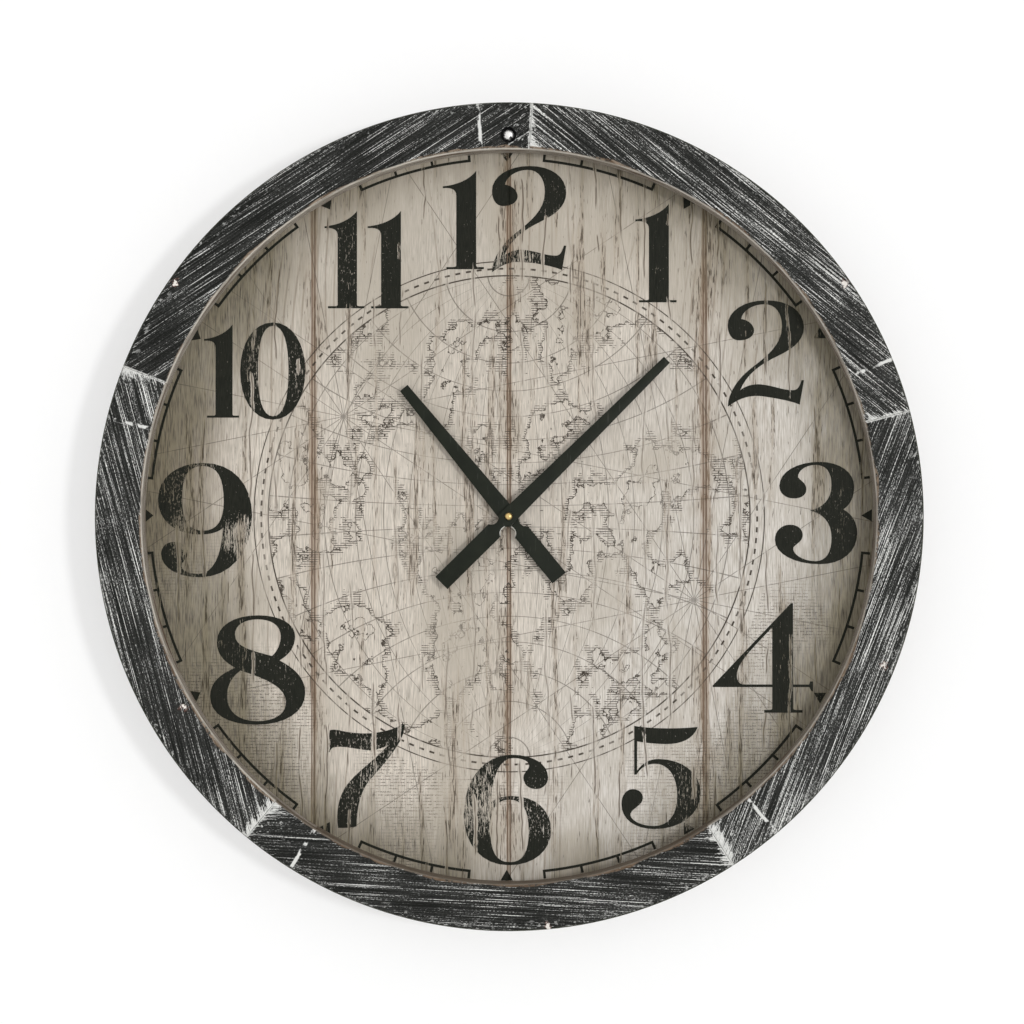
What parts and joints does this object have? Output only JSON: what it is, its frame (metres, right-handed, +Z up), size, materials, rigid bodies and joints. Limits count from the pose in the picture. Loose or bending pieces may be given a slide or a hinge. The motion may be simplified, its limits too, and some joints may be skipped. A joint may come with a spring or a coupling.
{
  "type": "wall clock",
  "caption": "Large round wall clock with a half-lapped wooden ring, a plank dial with a chart print, black hands and a battery quartz movement hung from a keyhole strap.",
  "frame": {"origin": "on the wall plane, in line with the hanging hole of the strap at the top of the back", "axes": "+Z up, +Y from the clock into the wall, so the dial looks along -Y, and +X to the right of someone who reads the dial"},
  "size_m": [0.6, 0.049, 0.6],
  "materials": {
    "ring_paint": "satin",
    "dial_print": "matte",
    "bare_wood": "matte",
    "steel": "satin",
    "black_plastic": "matte",
    "white_plastic": "satin",
    "gasket_rubber": "matte",
    "brass": "polished",
    "hand_black": "satin",
    "magnet": "satin",
    "copper_winding": "satin",
    "board_green": "satin",
    "cell_jacket": "satin"
  },
  "bodies": {
    "chassis": {"back_ring": "bare_wood", "cell": "cell_jacket", "circuit_board": "board_green", "coil": "copper_winding", "coil_core": "steel", "contact_negative": "steel", "contact_positive": "steel", "dial_board": "dial_print", "dial_gasket": "gasket_rubber", "dial_washer": "brass", "frame_segment_bottom": "ring_paint", "frame_segment_lower_left": "ring_paint", "frame_segment_lower_right": "ring_paint", "frame_segment_upper_left": "ring_paint", "frame_segment_upper_right": "ring_paint", "hanger_bolt": "steel", "hanger_nut": "steel", "hanger_strap": "steel", "mounting_nut": "brass", "movement_case": "black_plastic", "movement_cover": "black_plastic", "quartz_crystal": "steel", "ring_screws": "steel", "stator": "steel"},
    "minute_body": {"minute_arbor": "brass", "minute_hand": "hand_black", "minute_nut": "brass"},
    "hour_body": {"hour_wheel": "white_plastic", "hour_hand": "hand_black"},
    "minute_wheel_body": {"minute_wheel": "white_plastic"},
    "knob_body": {"setting_knob": "white_plastic"},
    "rotor_body": {"rotor": "magnet"},
    "intermediate_body": {"intermediate_wheel": "white_plastic"},
    "second_body": {"second_wheel": "white_plastic"},
    "third_body": {"third_wheel": "white_plastic"},
    "centre_body": {"centre_wheel": "white_plastic"}
  },
  "joints": [
    {"name": "minute_turn", "type": "hinge", "parent": "chassis", "child": "minute_body", "pos_m": [0, 0, -0.248], "axis": [0, 1, 0], "continuous": true},
    {"name": "hour_turn", "type": "hinge", "parent": "chassis", "child": "hour_body", "pos_m": [0, 0, -0.248], "axis": [0, 1, 0], "continuous": true},
    {"name": "minute_wheel_turn", "type": "hinge", "parent": "chassis", "child": "minute_wheel_body", "pos_m": [0.01039, 0, -0.242], "axis": [0, 1, 0], "continuous": true},
    {"name": "knob_turn", "type": "hinge", "parent": "chassis", "child": "knob_body", "pos_m": [0.0145, 0, -0.25328], "axis": [0, 1, 0], "continuous": true},
    {"name": "rotor_turn", "type": "hinge", "parent": "chassis", "child": "rotor_body", "pos_m": [0.0078, 0, -0.23449], "axis": [0, 1, 0], "continuous": true},
    {"name": "intermediate_turn", "type": "hinge", "parent": "chassis", "child": "intermediate_body", "pos_m": [0.0042, 0, -0.24073], "axis": [0, 1, 0], "continuous": true},
    {"name": "second_turn", "type": "hinge", "parent": "chassis", "child": "second_body", "pos_m": [0, 0, -0.248], "axis": [0, 1, 0], "continuous": true},
    {"name": "third_turn", "type": "hinge", "parent": "chassis", "child": "third_body", "pos_m": [-0.00982, 0, -0.24233], "axis": [0, 1, 0], "continuous": true},
    {"name": "centre_turn", "type": "hinge", "parent": "chassis", "child": "centre_body", "pos_m": [0, 0, -0.248], "axis": [0, 1, 0], "continuous": true}
  ],
  "couplings": [
    {"joint": "hour_turn", "follows": "minute_turn", "ratio": 0.083333},
    {"joint": "minute_wheel_turn", "follows": "minute_turn", "ratio": -0.33333},
    {"joint": "knob_turn", "follows": "minute_turn", "ratio": 1},
    {"joint": "intermediate_turn", "follows": "rotor_turn", "ratio": -0.2},
    {"joint": "second_turn", "follows": "rotor_turn", "ratio": 0.033333},
    {"joint": "third_turn", "follows": "rotor_turn", "ratio": -0.0044444},
    {"joint": "centre_turn", "follows": "rotor_turn", "ratio": 0.00055556}
  ]
}
